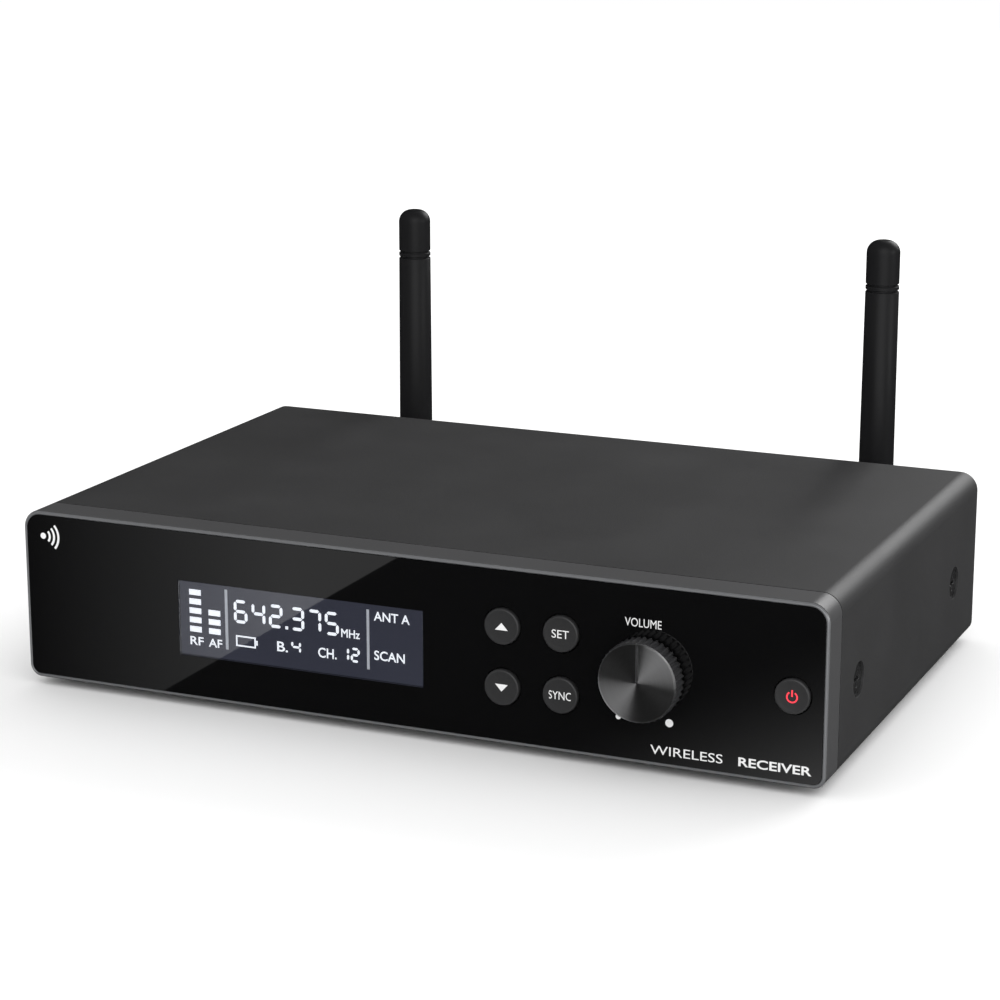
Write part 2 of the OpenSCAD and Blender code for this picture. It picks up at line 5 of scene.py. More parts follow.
import bmesh
import bpy
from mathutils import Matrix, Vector


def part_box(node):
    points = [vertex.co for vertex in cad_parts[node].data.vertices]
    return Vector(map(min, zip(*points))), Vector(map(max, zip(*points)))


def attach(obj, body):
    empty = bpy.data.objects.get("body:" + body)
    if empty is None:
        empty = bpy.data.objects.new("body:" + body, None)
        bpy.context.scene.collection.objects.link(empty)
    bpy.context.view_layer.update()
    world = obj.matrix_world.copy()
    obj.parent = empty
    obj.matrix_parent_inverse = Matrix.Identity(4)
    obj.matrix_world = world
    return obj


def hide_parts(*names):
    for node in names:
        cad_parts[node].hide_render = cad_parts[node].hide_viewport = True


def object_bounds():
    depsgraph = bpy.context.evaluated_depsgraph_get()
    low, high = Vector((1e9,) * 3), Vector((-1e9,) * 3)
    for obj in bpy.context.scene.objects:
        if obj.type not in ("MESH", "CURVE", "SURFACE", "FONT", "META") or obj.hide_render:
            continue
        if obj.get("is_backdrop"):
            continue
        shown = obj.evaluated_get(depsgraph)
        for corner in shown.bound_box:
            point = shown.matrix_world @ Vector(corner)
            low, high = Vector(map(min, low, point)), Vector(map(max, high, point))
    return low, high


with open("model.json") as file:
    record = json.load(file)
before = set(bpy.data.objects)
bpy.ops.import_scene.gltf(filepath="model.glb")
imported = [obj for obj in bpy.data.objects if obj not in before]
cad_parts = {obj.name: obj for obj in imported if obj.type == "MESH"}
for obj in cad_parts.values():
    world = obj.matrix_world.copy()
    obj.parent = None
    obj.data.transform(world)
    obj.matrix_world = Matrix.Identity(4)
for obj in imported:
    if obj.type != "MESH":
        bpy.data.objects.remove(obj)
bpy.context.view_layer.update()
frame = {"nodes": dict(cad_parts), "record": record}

MM = 0.001
HOUSING = "housing"
BUTTONS = ("up", "down", "set", "sync", "power")
UPPER_CORNER, LOWER_CORNER = 4.5, 3.0  # mm, the housing's rounding above and below
PANEL_INSET = 0.93  # mm from the housing's outline to the front panel's
WINDOW_GAP = 0.05  # mm round the display window in its hole
BUTTON_GAP = 0.3  # mm round a button in its hole
BUTTON_FLANGE = 0.7  # mm by which a button is wider behind the panel
BUSHING_HOLE = 3.55  # mm, radius of the hole behind the knob
INK_DEPTH = 0.02 * MM  # how far a printed mark stands off its panel
SHARP_ANGLE = 32  # degrees between faces from which an edge is softened
BROAD_GRAIN = 38.0  # large soft patches per metre, the same on every surface
WEAR_AND_HIGHLIGHT_RADIUS = 0.5  # mm from an edge within which a finish is lightened: wear, and on the buttons and screws a painted highlight


def middle(node):
    """The centre of a node's box."""
    low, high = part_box(node)
    return (low + high) / 2


# ---------------------------------------------------------------- materials

SURFACES = {
    # colour, roughness, share of metal, grains per metre, bump, colour variation, lighter edges (wear, and on the
    # buttons and screws a painted highlight)
    "cover_paint": dict(colour=(0.041, 0.041, 0.042), rough=0.5, grain=2300, bump=0.34, vary=0.3, wear_and_highlight=0.25),
    "frame_paint": dict(colour=(0.072, 0.072, 0.074), rough=0.42, grain=3000, bump=0.12, vary=0.08, wear_and_highlight=0.2),
    "tray_steel": dict(colour=(0.09, 0.09, 0.094), rough=0.45, grain=2300, bump=0.15, vary=0.12, wear_and_highlight=0.3),
    "rear_paint": dict(colour=(0.042, 0.042, 0.044), rough=0.5, grain=2300, bump=0.3, vary=0.15, wear_and_highlight=0.25),
    "bright_edge": dict(colour=(0.27, 0.275, 0.285), rough=0.36, metal=0.5, grain=4000, bump=0.03, vary=0.06),
    "gloss_black": dict(colour=(0.003, 0.003, 0.0032), rough=0.012, grain=260, bump=0.0, vary=0.15),
    "lcd": dict(colour=(0.035, 0.037, 0.05), rough=0.5, grain=500, bump=0.0, vary=0.08),
    "holder_white": dict(colour=(0.7, 0.7, 0.67), rough=0.5, grain=900, bump=0.04, vary=0.05),
    "foot_rubber": dict(colour=(0.018, 0.018, 0.018), rough=0.8, grain=1800, bump=0.2, vary=0.2),
    # The screws' lighter edges are a painted highlight, standing for glints on the heads.
    "screw_black": dict(colour=(0.03, 0.03, 0.031), rough=0.24, metal=0.4, grain=3500, bump=0.08, vary=0.2,
                        wear_and_highlight=1.0),
    "screw_steel": dict(colour=(0.56, 0.56, 0.57), rough=0.3, metal=0.75, grain=3500, bump=0.05, vary=0.1),
    "board_green": dict(colour=(0.015, 0.1, 0.05), rough=0.3, grain=700, bump=0.03, vary=0.25),
    "chip_black": dict(colour=(0.02, 0.02, 0.022), rough=0.6, grain=2600, bump=0.08, vary=0.1),
    "can_steel": dict(colour=(0.54, 0.55, 0.56), rough=0.32, metal=0.75, grain=1500, bump=0.05, vary=0.08),
    "capacitor_sleeve": dict(colour=(0.025, 0.03, 0.045), rough=0.3, grain=900, bump=0.02, vary=0.1),
    "cable_grey": dict(colour=(0.26, 0.27, 0.29), rough=0.55, grain=800, bump=0.05, vary=0.08),
    "header_cream": dict(colour=(0.66, 0.63, 0.54), rough=0.5, grain=900, bump=0.03, vary=0.06),
    "lamp_red": dict(colour=(0.5, 0.02, 0.015), rough=0.25, grain=900, bump=0.0, vary=0.1,
                     glow=(1.0, 0.05, 0.03), glow_strength=2.0),
    "knob_black": dict(colour=(0.034, 0.034, 0.036), rough=0.3, grain=2600, bump=0.06, vary=0.15, wear_and_highlight=0.3),
    "knob_metal": dict(colour=(0.62, 0.62, 0.63), rough=0.34, metal=1.0, grain=5000, bump=0.02, vary=0.06),
    # The buttons' lighter edges are a painted highlight on their rims.
    "button_grey": dict(colour=(0.028, 0.028, 0.029), rough=0.4, grain=2600, bump=0.06, vary=0.12, wear_and_highlight=0.8),
    "nickel": dict(colour=(0.6, 0.595, 0.58), rough=0.26, metal=0.72, grain=2600, bump=0.03, vary=0.08),
    "gold": dict(colour=(0.68, 0.47, 0.17), rough=0.3, metal=0.6, grain=2600, bump=0.03, vary=0.08),
    "insulator_white": dict(colour=(0.75, 0.73, 0.67), rough=0.45, grain=1200, bump=0.03, vary=0.05),
    "insert_black": dict(colour=(0.015, 0.015, 0.016), rough=0.5, grain=2600, bump=0.08, vary=0.15),
    "plug_metal": dict(colour=(0.2, 0.2, 0.21), rough=0.42, metal=0.7, grain=2600, bump=0.05, vary=0.12, wear_and_highlight=0.4),
    "antenna_black": dict(colour=(0.012, 0.012, 0.013), rough=0.42, grain=1900, bump=0.07, vary=0.14,
                          wear_and_highlight=0.2, specular=0.2),
}


def link(tree, out_node, out_socket, in_node, in_socket):
    """A wire between two nodes, their sockets given by name or number."""
    tree.links.new(out_node.outputs[out_socket], in_node.inputs[in_socket])


def add_node(tree, kind, values=None, operation=None, data_type=None):
    """A shader node with its kind of sum or data set first, then the values of its sockets."""
    made = tree.nodes.new("ShaderNode" + kind)
    if operation:
        made.operation = operation
    if data_type:
        made.data_type = data_type
    for socket, value in (values or {}).items():
        made.inputs[socket].default_value = value
    return made


def rgba(colour, scale=1.0):
    """A colour made lighter or darker, with its alpha."""
    return [min(1, c * scale) for c in colour] + [1]


def blank_material(name, shader_kind="BsdfPrincipled", shader_out="BSDF"):
    """A material, its node tree and the one shader that feeds its surface."""
    mat = bpy.data.materials.new(name)
    mat.use_nodes = True
    tree = mat.node_tree
    tree.nodes.clear()
    out = add_node(tree, "OutputMaterial")
    shader = add_node(tree, shader_kind)
    link(tree, shader, shader_out, out, "Surface")
    return mat, tree, shader


def mottled(tree, scale, colour_a, colour_b):
    """A colour that drifts between two with a noise over the object."""
    place = add_node(tree, "TexCoord")
    noise = add_node(tree, "TexNoise", {"Scale": scale})
    link(tree, place, "Object", noise, "Vector")
    tint = add_node(tree, "Mix", {"A": colour_a, "B": colour_b}, data_type="RGBA")
    link(tree, noise, "Fac", tint, "Factor")
    return tint


def surface(name, colour, rough, metal=0.0, grain=1500, bump=0.1, vary=0.1, wear_and_highlight=0.0,
            glow=None, glow_strength=1.0, specular=None):
    """A finish with grain, colour and gloss variation and, where asked, lighter edges: wear, and on the buttons
    and screws a painted highlight.
    """
    mat, tree, shader = blank_material(name)
    place = add_node(tree, "TexCoord")
    fine = add_node(tree, "TexNoise", {"Scale": grain, "Detail": 3.0})
    broad = add_node(tree, "TexNoise", {"Scale": BROAD_GRAIN, "Detail": 4.0})
    for noise in (fine, broad):
        link(tree, place, "Object", noise, "Vector")

    soft = add_node(tree, "Math", {1: 0.4}, operation="MULTIPLY")
    link(tree, broad, "Fac", soft, 0)
    speckle = add_node(tree, "Math", {1: 0.6}, operation="MULTIPLY_ADD")
    link(tree, fine, "Fac", speckle, 0)
    link(tree, soft, 0, speckle, 2)
    painted = add_node(tree, "Mix", {"A": rgba(colour, 1 - vary), "B": rgba(colour, 1 + vary)}, data_type="RGBA")
    link(tree, speckle, 0, painted, "Factor")

    # Edges lightened near a bevel: wear, and on the buttons and screws a painted highlight.
    if wear_and_highlight:
        rounded = add_node(tree, "Bevel", {"Radius": WEAR_AND_HIGHLIGHT_RADIUS * MM})
        rounded.samples = 4
        true_normal = add_node(tree, "NewGeometry")
        dot = add_node(tree, "VectorMath", operation="DOT_PRODUCT")
        link(tree, rounded, "Normal", dot, 0)
        link(tree, true_normal, "Normal", dot, 1)
        edge = add_node(tree, "MapRange", {"From Min": 0.995, "From Max": 0.9, "To Min": 0.0, "To Max": wear_and_highlight})
        link(tree, dot, "Value", edge, "Value")
        worn_and_highlit = add_node(tree, "Math", operation="MULTIPLY")
        link(tree, edge, "Result", worn_and_highlit, 0)
        link(tree, broad, "Fac", worn_and_highlit, 1)
        rubbed_and_highlit = add_node(tree, "Mix", {"B": rgba([c * 1.8 + 0.05 for c in colour])}, data_type="RGBA")
        link(tree, painted, "Result", rubbed_and_highlit, "A")
        link(tree, worn_and_highlit, 0, rubbed_and_highlit, "Factor")
        painted = rubbed_and_highlit
    link(tree, painted, "Result", shader, "Base Color")

    polish = add_node(tree, "MapRange", {"To Min": rough * 0.88, "To Max": min(1.0, rough * 1.12)})
    link(tree, broad, "Fac", polish, "Value")
    link(tree, polish, "Result", shader, "Roughness")
    if bump:
        relief = add_node(tree, "Bump", {"Strength": bump, "Distance": 0.1 * MM})
        link(tree, fine, "Fac", relief, "Height")
        link(tree, relief, "Normal", shader, "Normal")
    shader.inputs["Metallic"].default_value = metal
    if specular is not None:
        shader.inputs["Specular IOR Level"].default_value = specular
    if glow:
        shader.inputs["Emission Color"].default_value = rgba(glow)
        shader.inputs["Emission Strength"].default_value = glow_strength
    return mat


MATERIALS = {slot: surface("m_" + slot, **look) for slot, look in SURFACES.items()}


def window_glass():
    """Clear glass, a little hazier in some places than in others."""
    mat, tree, shader = blank_material("m_window")
    place = add_node(tree, "TexCoord")
    haze = add_node(tree, "TexNoise", {"Scale": 120.0})
    link(tree, place, "Object", haze, "Vector")
    spread = add_node(tree, "MapRange", {"To Min": 0.002, "To Max": 0.006})
    link(tree, haze, "Fac", spread, "Value")
    link(tree, spread, "Result", shader, "Roughness")
    shader.inputs["Base Color"].default_value = (0.97, 0.98, 1.0, 1)
    shader.inputs["Transmission Weight"].default_value = 1.0
    shader.inputs["IOR"].default_value = 1.5
    return mat


def lit(name, colour, strength, spread=0.06):
    """A printed or segment mark that gives off light, a little uneven over its area."""
    mat, tree, shader = blank_material(name)
    tint = mottled(tree, 500.0, rgba(colour, 1 - spread), rgba(colour, 1 + spread))
    link(tree, tint, "Result", shader, "Base Color")
    link(tree, tint, "Result", shader, "Emission Color")
    shader.inputs["Emission Strength"].default_value = strength
    shader.inputs["Roughness"].default_value = 0.5
    return mat


MATERIALS["window"] = window_glass()
# White print with a faint painted glow: it gives off a little light though it is no lamp.
INK_WITH_PAINTED_GLOW = surface("m_ink_white_painted_glow", (0.78, 0.78, 0.78), 0.45, grain=2600, bump=0.03, vary=0.05,
              glow=(1, 1, 1), glow_strength=0.12)
REAR_INK = surface("m_ink_grey", (0.55, 0.55, 0.56), 0.5, grain=2600, bump=0.03, vary=0.08)
SEGMENT = lit("m_segment", (0.86, 0.89, 0.93), 0.95)
DIVIDER = lit("m_divider", (0.5, 0.52, 0.56), 0.55)
POWER_SIGN = lit("m_power_sign", (0.75, 0.03, 0.05), 0.85)


# ---------------------------------------------------------------- making pieces

def new_piece(name, bm, mat, body, sharp=SHARP_ANGLE):
    """An object made from a bmesh, riding on a body. Edges sharper than the angle stay sharp."""
    bmesh.ops.recalc_face_normals(bm, faces=bm.faces)
    mesh = bpy.data.meshes.new(name)
    bm.to_mesh(mesh)
    bm.free()
    mesh.shade_smooth()
    mesh.set_sharp_from_angle(angle=math.radians(sharp))
    piece = bpy.data.objects.new(name, mesh)
    bpy.context.scene.collection.objects.link(piece)
    mesh.materials.append(mat)
    if body:
        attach(piece, body)
    return piece


def bevel(piece, width):
    """Softened edges, width in mm, with the flat faces still shaded flat."""
    mod = piece.modifiers.new("bevel", "BEVEL")
    mod.width = width * MM
    mod.segments = 2
    mod.limit_method = "ANGLE"
    mod.angle_limit = math.radians(SHARP_ANGLE)
    mod.harden_normals = True
    even = piece.modifiers.new("even", "WEIGHTED_NORMAL")
    even.keep_sharp = True
    even.weight = 80
    return piece


def record_slot(node):
    """The finish that the record gives a node."""
    for part in frame["record"]["subparts"]:
        if part["node"] == node:
            return part["material_slot"]
    return None


def body_of(node):
    """The moving body that the record puts a node in."""
    for body, nodes in frame["record"]["behaviour"]["bodies"].items():
        if node in nodes:
            return body
    return None


def carry(node, width):
    """The node's own shape with merged faces, softened edges and its finish."""
    bm = bmesh.new()
    bm.from_mesh(frame["nodes"][node].data)
    bmesh.ops.remove_doubles(bm, verts=bm.verts, dist=2e-6)
    bmesh.ops.dissolve_degenerate(bm, edges=bm.edges, dist=1e-6)
    bmesh.ops.dissolve_limit(bm, angle_limit=math.radians(0.4), verts=bm.verts, edges=bm.edges)
    slot = record_slot(node)
    piece = bevel(new_piece("v_" + node, bm, MATERIALS[slot], body_of(node)), width)
    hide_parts(node)


def lathe(bm, profile, origin, axis, steps=96, radius_at=None):
    """A turned solid. profile runs from the axis and back to it as (radius, distance), in mm."""
    origin, axis = Vector(origin), Vector(axis).normalized()
    side = Vector((1, 0, 0)) if abs(axis.x) < 0.5 else Vector((0, 0, 1))
    other = axis.cross(side)
    rings = []
    for radius, along in profile:
        if radius < 1e-6:
            rings.append([bm.verts.new(origin + axis * along * MM)])
            continue
        loop = []
        for i in range(steps):
            turn = 2 * math.pi * i / steps
            r = (radius if radius_at is None else radius_at(radius, turn)) * MM
            out = side * math.cos(turn) + other * math.sin(turn)
            loop.append(bm.verts.new(origin + axis * along * MM + out * r))
        rings.append(loop)
    for a, b in zip(rings, rings[1:]):
        for i in range(max(len(a), len(b))):
            j = (i + 1) % max(len(a), len(b))
            if len(a) == 1:
                bm.faces.new((a[0], b[i], b[j]))
            elif len(b) == 1:
                bm.faces.new((a[i], b[0], a[j]))
            else:
                bm.faces.new((a[i], b[i], b[j], a[j]))


def fillet(centre_r, centre_t, radius, start, end, steps):
    """Points of an arc in a (radius, distance) profile, angles in degrees."""
    points = []
    for i in range(steps + 1):
        a = math.radians(start + (end - start) * i / steps)
        points.append((centre_r + radius * math.cos(a), centre_t + radius * math.sin(a)))
    return points


def loft(bm, first, last):
    """A solid between two outlines that have the same number of points."""
    a = [bm.verts.new(p) for p in first]
    b = [bm.verts.new(p) for p in last]
    bm.faces.new(a)
    bm.faces.new(b[::-1])
    for i in range(len(a)):
        j = (i + 1) % len(a)
        bm.faces.new((a[i], b[i], b[j], a[j]))


def prism(bm, outline, y0, y1):
    """A flat shape given as (x, z) points, between two depths. All in metres."""
    loft(bm, [(x, y0, z) for x, z in outline], [(x, y1, z) for x, z in outline])


def band(bm, points, width, y0, y1):
    """A line of constant width through (x, z) points, as one solid."""
    left, right = [], []
    for i, p in enumerate(points):
        a = Vector(points[max(i - 1, 0)])
        b = Vector(points[min(i + 1, len(points) - 1)])
        n = (b - a).normalized()
        n = Vector((-n.y, n.x)) * width / 2
        left.append((p[0] + n.x, p[1] + n.y))
        right.append((p[0] - n.x, p[1] - n.y))
    prism(bm, left + right[::-1], y0, y1)


def rectangle(x0, z0, x1, z1):
    """The four corners between two opposite ones."""
    return [(x0, z0), (x1, z0), (x1, z1), (x0, z1)]


def box_outline(low, high, grow=0.0):
    """A box seen from the front, larger by grow on every side."""
    return rectangle(low.x - grow, low.z - grow, high.x + grow, high.z + grow)


def circle_points(x, z, r, steps, start=0.0, sweep=360.0):
    """A circle, or the arc of it that sweep degrees cover."""
    count = steps if sweep >= 360 else steps + 1
    return [(x + r * math.cos(math.radians(start + sweep * i / steps)),
             z + r * math.sin(math.radians(start + sweep * i / steps))) for i in range(count)]


def evaluated_mesh(obj):
    """The mesh an object has once its curve or its modifiers have been worked out."""
    bpy.context.view_layer.update()
    return bpy.data.meshes.new_from_object(obj.evaluated_get(bpy.context.evaluated_depsgraph_get()))


def mesh_of_curve(curve):
    """A curve or text turned into a mesh. The texture coordinates it comes with are dropped: nothing
    uses them, and softened edges would give them other values in each run."""
    source = bpy.data.objects.new(curve.name + "_source", curve)
    bpy.context.scene.collection.objects.link(source)
    mesh = evaluated_mesh(source)
    bpy.data.objects.remove(source)
    while mesh.uv_layers:
        mesh.uv_layers.remove(mesh.uv_layers[0])
    return mesh


def lettering(name, words, box_low, box_high, y, mat, body, toward=-1, weight=0.0):
    """Words that fill a box on a panel, in (x, z) metres, raised by a hair.

    toward is the panel's facing along y, and weight thickens the strokes.
    """
    curve = bpy.data.curves.new(name, "FONT")
    curve.body = words
    curve.extrude = 0.01
    curve.bevel_depth = weight
    curve.bevel_resolution = 0
    curve.resolution_u = 4
    mesh = mesh_of_curve(curve)
    xs = [v.co.x for v in mesh.vertices]
    ys = [v.co.y for v in mesh.vertices]
    high = (box_high[1] - box_low[1]) / (max(ys) - min(ys))
    wide = (box_high[0] - box_low[0]) / (max(xs) - min(xs))
    mid_x = (box_low[0] + box_high[0]) / 2
    thick = max(v.co.z for v in mesh.vertices)
    for v in mesh.vertices:
        across = (v.co.x - (max(xs) + min(xs)) / 2) * wide
        z = box_low[1] + (v.co.y - min(ys)) * high
        v.co = (mid_x - toward * across, y + toward * INK_DEPTH * v.co.z / thick, z)
    bm = bmesh.new()
    bm.from_mesh(mesh)
    bpy.data.meshes.remove(mesh)
    bmesh.ops.remove_doubles(bm, verts=bm.verts, dist=1e-7)
    bmesh.ops.dissolve_degenerate(bm, edges=bm.edges, dist=1e-6)
    return new_piece(name, bm, mat, body, 60)


def rounded_outline(inset, y, steps=10):
    """The housing's cross-section as points, drawn in by an inset (mm)."""
    low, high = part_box("front_frame")
    left, right, under, top = low.x / MM, high.x / MM, low.z / MM, high.z / MM
    corners = ((right, top, UPPER_CORNER, 0), (left, top, UPPER_CORNER, 90),
               (left, under, LOWER_CORNER, 180), (right, under, LOWER_CORNER, 270))
    points = []
    for x, z, radius, start in corners:
        cx = x - math.copysign(radius, x)
        cz = z - radius if z > (top + under) / 2 else z + radius
        for i in range(steps + 1):
            a = math.radians(start + 90 * i / steps)
            reach = radius - inset
            points.append(Vector(((cx + reach * math.cos(a)) * MM, y, (cz + reach * math.sin(a)) * MM)))
    return points


def ring(bm, section):
    """A closed ring round the housing. section is a loop of (inset in mm, y in metres)."""
    loops = [[bm.verts.new(p) for p in rounded_outline(inset, y)] for inset, y in section]
    count = len(loops[0])
    for k in range(len(loops)):
        a, b = loops[k], loops[(k + 1) % len(loops)]
        for i in range(count):
            j = (i + 1) % count
            bm.faces.new((a[i], a[j], b[j], b[i]))


def plate(name, outer, holes, y0, y1, soft, mat, body):
    """A flat plate with round or square holes and softened edges, outlines as (x, z) in metres."""
    curve = bpy.data.curves.new(name, "CURVE")
    curve.dimensions = "2D"
    curve.fill_mode = "BOTH"
    for shape in [outer] + holes:
        spline = curve.splines.new("POLY")
        spline.points.add(len(shape) - 1)
        for point, (x, z) in zip(spline.points, shape):
            point.co = (x, z, 0, 1)
        spline.use_cyclic_u = True
    curve.extrude = (y1 - y0) / 2
    mesh = mesh_of_curve(curve)
    for v in mesh.vertices:
        v.co = (v.co.x, (y0 + y1) / 2 - v.co.z, v.co.y)
    bm = bmesh.new()
    bm.from_mesh(mesh)
    bpy.data.meshes.remove(mesh)
    bmesh.ops.remove_doubles(bm, verts=bm.verts, dist=1e-6)
    return bevel(new_piece(name, bm, mat, body), soft)


# ---------------------------------------------------------------- carried-over CAD nodes

for name, obj in frame["nodes"].items():
    obj.data.materials.clear()
    obj.data.materials.append(MATERIALS[record_slot(name)])

carry("top_cover", 0.3)
carry("front_frame", 0.35)
carry("base_tray", 0.25)
carry("rear_panel", 0.15)
for name in ("feet", "bnc_nuts", "jack_nut", "xlr_shell", "jack_socket", "dc_socket"):
    carry(name, 0.2)
for name in ("side_screws", "bottom_screws", "xlr_screws", "bnc_sockets", "xlr_pins", "xlr_insert", "dc_pin"):
    carry(name, 0.1)
for side in "ab":
    carry("plug_body_" + side, 0.3)
    carry("collar_" + side, 0.12)
    carry("hinge_pin_" + side, 0.15)

# ---------------------------------------------------------------- front edge and panel

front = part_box("edge_trim")[0].y
bm = bmesh.new()
ring(bm, [(0.12, front + 0.5 * MM), (0.36, front + 0.06 * MM), (0.46, front), (0.66, front),
          (0.9, front + 0.24 * MM), (0.9, front + 0.5 * MM)])
trim = new_piece("v_edge_trim", bm, MATERIALS["bright_edge"], HOUSING, 25)
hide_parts("edge_trim")

panel_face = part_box("front_panel")[0].y
panel_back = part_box("lcd_holder")[0].y
window_low, window_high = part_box("display_window")
knob = middle("volume_knob")
button_radius = {}
holes = [box_outline(window_low, window_high, WINDOW_GAP * MM)]
for key in BUTTONS:
    low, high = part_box("button_" + key)
    button_radius[key] = (high.x - low.x) / 2 / MM - BUTTON_FLANGE
    spot = middle("button_" + key)
    holes.append(circle_points(spot.x, spot.z, (button_radius[key] + BUTTON_GAP) * MM, 72))
holes.append(circle_points(knob.x, knob.z, BUSHING_HOLE * MM, 64))
panel_outline = [(p.x, p.z) for p in rounded_outline(PANEL_INSET, 0)]
panel = plate("v_front_panel", panel_outline, holes, panel_face, panel_back, 0.08,
              MATERIALS["gloss_black"], HOUSING)
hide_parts("front_panel")

# ---------------------------------------------------------------- display

lens = plate("v_display_window", box_outline(window_low, window_high), [], window_low.y,
             window_high.y - 0.15 * MM, 0.05, MATERIALS["window"], HOUSING)
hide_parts("display_window")


def lcd_glow():
    """The display's lit ground: a dim, slightly cloudy blue grey that mirrors a little."""
    mat, tree, shader = blank_material("m_lcd_lit")
    cloud = mottled(tree, 45.0, (0.034, 0.036, 0.052, 1), (0.042, 0.045, 0.063, 1))
    link(tree, cloud, "Result", shader, "Emission Color")
    shader.inputs["Emission Strength"].default_value = 0.87
    shader.inputs["Base Color"].default_value = (0.006, 0.006, 0.008, 1)
    shader.inputs["Roughness"].default_value = 0.015
    shader.inputs["Specular IOR Level"].default_value = 0.5
    return mat


lcd_low, lcd_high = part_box("lcd_panel")
lcd = plate("v_lcd_panel", box_outline(lcd_low, lcd_high), [], lcd_low.y, lcd_high.y, 0.05, lcd_glow(), HOUSING)
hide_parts("lcd_panel")

# Places on the display are counted in mm from the window's top left corner.
left, top = window_low.x, window_high.z
mark_front, mark_back = lcd_low.y - 0.06 * MM, lcd_low.y + 0.02 * MM


def at(x, down):
    """A place on the display as (x, z) in metres."""
    return (left + x * MM, top - down * MM)


def bar(bm, x0, y0, x1, y1):
    """An upright rectangle on the display, from its top left to its bottom right corner."""
    prism(bm, rectangle(*at(x0, y1), *at(x1, y0)), mark_front, mark_back)


DIGITS = {"1": "bc", "2": "abged", "3": "abgcd", "4": "fgbc", "5": "afgcd", "6": "afgedc", "7": "abc"}


def digit(bm, figure, x, y, wide, high, thick):
    """A seven-segment figure whose top left corner is (x, y)."""
    half, gap = thick / 2, thick * 0.22
    mid = y + high / 2
    ends = {
        "a": ((x + half, y + half), (x + wide - half, y + half)),
        "g": ((x + half, mid), (x + wide - half, mid)),
        "d": ((x + half, y + high - half), (x + wide - half, y + high - half)),
        "f": ((x + half, y + half), (x + half, mid)),
        "b": ((x + wide - half, y + half), (x + wide - half, mid)),
        "e": ((x + half, mid), (x + half, y + high - half)),
        "c": ((x + wide - half, mid), (x + wide - half, y + high - half)),
    }
    for segment in DIGITS[figure]:
        (ax, ay), (bx, by) = ends[segment]
        if ay == by:
            ax, bx = ax + gap, bx - gap
            shape = [(ax, ay), (ax + half, ay - half), (bx - half, ay - half),
                     (bx, ay), (bx - half, ay + half), (ax + half, ay + half)]
        else:
            ay, by = ay + gap, by - gap
            shape = [(ax, ay), (ax + half, ay + half), (ax + half, by - half),
                     (ax, by), (ax - half, by - half), (ax - half, ay + half)]
        prism(bm, [at(*p) for p in shape], mark_front, mark_back)


bm = bmesh.new()
LEVEL_ROW = 2.24  # mm from one bar of a level column to the next
for x0, x1, first_row in ((2.6, 5.7, 0), (7.65, 10.75, 2)):
    for row in range(first_row, 5):
        bar(bm, x0, 1.97 + LEVEL_ROW * row, x1, 3.33 + LEVEL_ROW * row)
for figure, x in zip("642375", (14.4, 19.1, 23.6, 29.2, 33.6, 38.1)):
    digit(bm, figure, x, 3.15, 3.55, 5.6, 0.72)
bar(bm, 27.85, 8.0, 28.55, 8.72)
digit(bm, "4", 29.3, 11.2, 2.5, 3.1, 0.5)
digit(bm, "1", 42.2, 11.0, 2.0, 3.5, 0.55)
digit(bm, "2", 44.6, 11.0, 2.3, 3.5, 0.55)
# The battery: top, bottom, the two ends and the contact.
for edge in ((14.8, 11.75, 20.0, 12.1), (14.8, 14.05, 20.0, 14.4), (14.8, 12.12, 15.15, 14.03),
             (19.65, 12.12, 20.0, 14.03), (20.1, 12.5, 20.5, 13.65)):
    bar(bm, *edge)
marks = new_piece("v_display_marks", bm, SEGMENT, HOUSING, 60)
bm = bmesh.new()
bar(bm, 12.05, 1.05, 12.75, 15.6)
bar(bm, 48.75, 1.45, 49.4, 15.7)
dividers = new_piece("v_display_dividers", bm, DIVIDER, HOUSING, 60)
for tag, words, x0, y0, x1, y1 in (
        ("rf", "RF", 2.6, 13.45, 6.15, 15.5), ("af", "AF", 7.5, 13.45, 11.1, 15.5),
        ("mhz", "MHz", 42.25, 6.8, 47.0, 8.8), ("bank", "B.", 25.6, 11.9, 28.4, 14.3),
        ("channel", "CH.", 36.25, 12.0, 41.0, 14.4), ("antenna", "ANT A", 50.6, 1.7, 59.6, 3.85),
        ("scan", "SCAN", 50.6, 10.95, 58.3, 13.2)):
    text = lettering("v_display_" + tag, words, at(x0, y1), at(x1, y0), mark_front + INK_DEPTH,
                     SEGMENT, HOUSING, weight=0.012)

# ---------------------------------------------------------------- buttons

FLANGE_THICK = 0.9  # mm, the flange behind the panel
EDGE_ROUND = 0.42  # mm, radius of a button's front edge
SIGN_DEPTH = 0.13 * MM  # from a button's foremost point to its slightly hollow middle
WORD_HALF_HEIGHT = 0.95 * MM
WORD_HALF_WIDTH = {"set": 2.05 * MM, "sync": 2.75 * MM}

